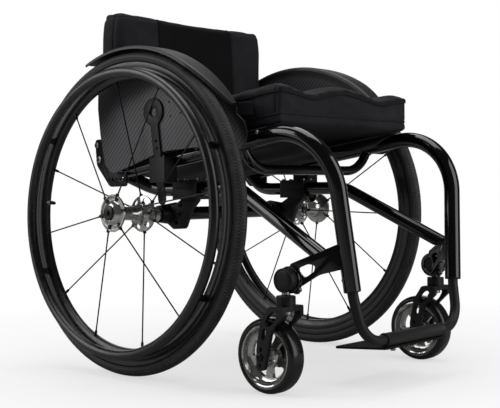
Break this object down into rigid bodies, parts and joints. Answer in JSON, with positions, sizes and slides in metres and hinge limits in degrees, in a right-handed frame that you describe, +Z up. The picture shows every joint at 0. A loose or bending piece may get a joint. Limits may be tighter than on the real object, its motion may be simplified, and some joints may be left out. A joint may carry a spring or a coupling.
{
  "type": "rigid active wheelchair",
  "caption": "Rigid-frame active wheelchair with cambered spoked wheels, swivel casters, folding back, lift-out side guards and a cushion.",
  "frame": {"origin": "on the floor under the middle of the chair's bounding box", "axes": "+X forward, +Y to the sitter's left, +Z up; the chair is symmetric about the plane Y = 0 except for the spoke positions"},
  "size_m": [0.7552, 0.6146, 0.687],
  "materials": {
    "gloss_paint": "gloss black powder coat",
    "satin_black": "satin black anodised or coated alloy",
    "polished_alloy": "polished",
    "steel": "zinc-bright",
    "tyre_rubber": "matte, small tread",
    "caster_urethane": "satin",
    "sleeve_rubber": "matte ribbed",
    "cloth": "black woven cloth over foam",
    "carbon": "twill carbon composite under clear resin",
    "plastic": "moulded"
  },
  "bodies": {
    "chair": {"axle_bracket_L": "satin_black", "axle_bracket_R": "satin_black", "axle_receiver_L": "polished_alloy", "axle_receiver_R": "polished_alloy", "back_bracket_L": "satin_black", "back_bracket_R": "satin_black", "back_pivot_bolt_L": "steel", "back_pivot_bolt_R": "steel", "camber_tube": "gloss_paint", "caster_arm_L": "gloss_paint", "caster_arm_R": "gloss_paint", "caster_housing_L": "satin_black", "caster_housing_R": "satin_black", "footplate": "satin_black", "footrest_sleeve": "sleeve_rubber", "footrest_tube": "satin_black", "front_cross_brace": "gloss_paint", "guard_socket_L": "satin_black", "guard_socket_R": "satin_black", "lower_rail_L": "gloss_paint", "lower_rail_R": "gloss_paint", "quick_release_axle_L": "satin_black", "quick_release_axle_R": "satin_black", "saddle_cap_L": "satin_black", "saddle_cap_R": "satin_black", "seat_cushion": "cloth", "seat_rail_L": "gloss_paint", "seat_rail_R": "gloss_paint", "seat_sling": "cloth"},
    "backrest": {"back_cane_L": "gloss_paint", "back_cane_R": "gloss_paint", "back_hinge_L": "satin_black", "back_hinge_R": "satin_black", "back_upholstery": "cloth", "rigidizer_bar": "gloss_paint"},
    "fork_L": {"caster_axle_L": "steel", "caster_fork_L": "satin_black", "stem_bolt_L": "steel"},
    "fork_R": {"caster_axle_R": "steel", "caster_fork_R": "satin_black", "stem_bolt_R": "steel"},
    "caster_L": {"caster_rim_L": "polished_alloy", "caster_tyre_L": "caster_urethane"},
    "caster_R": {"caster_rim_R": "polished_alloy", "caster_tyre_R": "caster_urethane"},
    "guard_L": {"guard_mount_L": "satin_black", "side_guard_L": "carbon"},
    "guard_R": {"guard_mount_R": "satin_black", "side_guard_R": "carbon"},
    "wheel_L": {"hand_rim_L": "satin_black", "wheel_hub_L": "polished_alloy", "wheel_rim_L": "satin_black", "wheel_tyre_L": "tyre_rubber"},
    "wheel_R": {"hand_rim_R": "satin_black", "wheel_hub_R": "polished_alloy", "wheel_rim_R": "satin_black", "wheel_tyre_R": "tyre_rubber"},
    "button_L": {"release_button_L": "plastic"},
    "button_R": {"release_button_R": "plastic"}
  },
  "joints": [
    {"name": "back_fold", "type": "hinge", "parent": "chair", "child": "backrest", "pos_m": [-0.22955, 0, 0.4], "axis": [0, 1, 0], "range_deg": [0, 15]},
    {"name": "guard_lift_R", "type": "slide", "parent": "chair", "child": "guard_R", "axis": [-0.132, 0, 0.9913], "range_m": [0, 0.07]},
    {"name": "fork_swivel_R", "type": "hinge", "parent": "chair", "child": "fork_R", "pos_m": [0.26995, -0.2213, 0.163], "axis": [0, 0, 1], "continuous": true},
    {"name": "caster_spin_R", "type": "hinge", "parent": "fork_R", "child": "caster_R", "pos_m": [0.23475, -0.2213, 0.0625], "axis": [0, 1, 0], "continuous": true},
    {"name": "wheel_spin_R", "type": "hinge", "parent": "chair", "child": "wheel_R", "pos_m": [-0.08155, -0.2554, 0.29583], "axis": [0, 0.9994, -0.0349], "continuous": true},
    {"name": "button_press_R", "type": "slide", "parent": "chair", "child": "button_R", "axis": [0, 0.9994, -0.0349], "range_m": [0, 0.003], "stiffness_N_per_m": 400, "springref_m": -0.002},
    {"name": "guard_lift_L", "type": "slide", "parent": "chair", "child": "guard_L", "axis": [-0.132, 0, 0.9913], "range_m": [0, 0.07]},
    {"name": "fork_swivel_L", "type": "hinge", "parent": "chair", "child": "fork_L", "pos_m": [0.26995, 0.2213, 0.163], "axis": [0, 0, 1], "continuous": true},
    {"name": "caster_spin_L", "type": "hinge", "parent": "fork_L", "child": "caster_L", "pos_m": [0.23475, 0.2213, 0.0625], "axis": [0, 1, 0], "continuous": true},
    {"name": "wheel_spin_L", "type": "hinge", "parent": "chair", "child": "wheel_L", "pos_m": [-0.08155, 0.2554, 0.29583], "axis": [0, 0.9994, 0.0349], "continuous": true},
    {"name": "button_press_L", "type": "slide", "parent": "chair", "child": "button_L", "axis": [0, -0.9994, -0.0349], "range_m": [0, 0.003], "stiffness_N_per_m": 400, "springref_m": -0.002}
  ]
}
